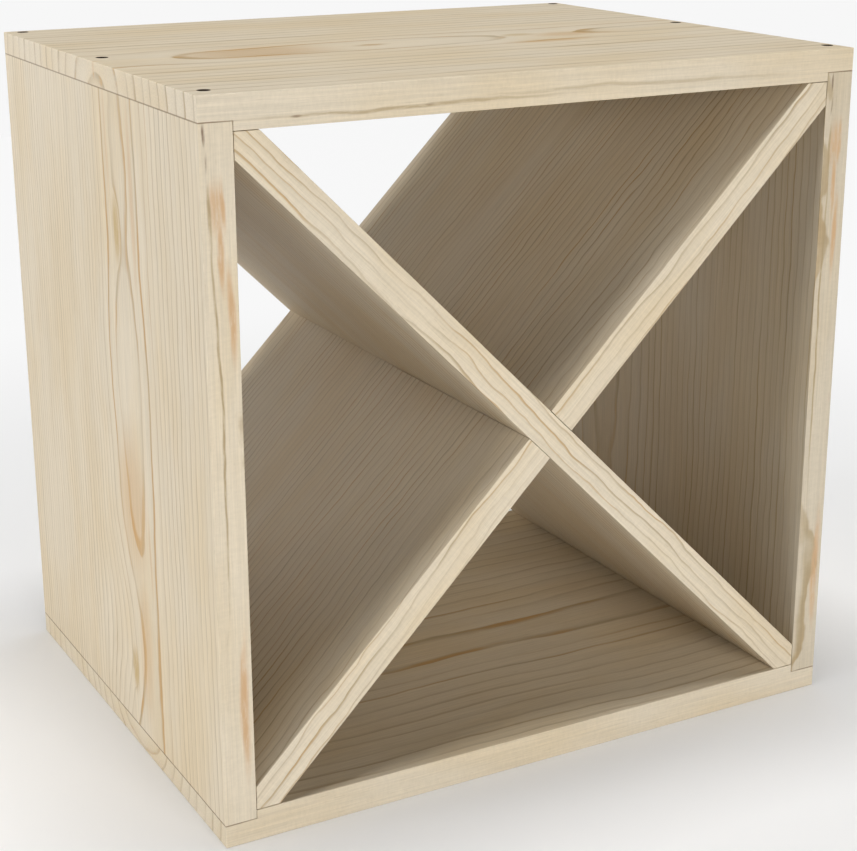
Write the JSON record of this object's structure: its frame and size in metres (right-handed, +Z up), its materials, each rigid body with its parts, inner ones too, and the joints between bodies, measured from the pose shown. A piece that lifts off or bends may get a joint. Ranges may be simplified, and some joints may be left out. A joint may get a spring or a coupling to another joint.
{
  "type": "wine rack",
  "caption": "Open square cube wine rack in pale solid pine, its boards rabbeted and screwed, with an X of cross-halved dividers making triangular bottle compartments.",
  "frame": {"origin": "centre of the bottom panel's underside, which the rack stands on", "axes": "+Z up, +X across the rack to the right as seen from the front, +Y from the front opening to the rear opening"},
  "size_m": [0.4, 0.317, 0.4],
  "materials": {
    "pine_panel": "sanded, untreated",
    "pine_side": "sanded, untreated",
    "pine_divider": "sanded, untreated",
    "screw_steel": "yellow zinc plated"
  },
  "bodies": {
    "box": {"top_panel": "pine_panel", "bottom_panel": "pine_panel", "left_side_panel": "pine_side", "right_side_panel": "pine_side", "screws_top_left": "screw_steel", "screws_top_right": "screw_steel", "screws_bottom_left": "screw_steel", "screws_bottom_right": "screw_steel"},
    "insert": {"rising_divider": "pine_divider"},
    "insert_half": {"falling_divider": "pine_divider"}
  },
  "joints": [
    {"name": "insert_slide", "type": "slide", "parent": "box", "child": "insert", "axis": [0, -1, 0], "range_m": [-0.317, 0.317]},
    {"name": "lap_slide", "type": "slide", "parent": "insert", "child": "insert_half", "axis": [0, -1, 0], "range_m": [0, 0.317]}
  ]
}
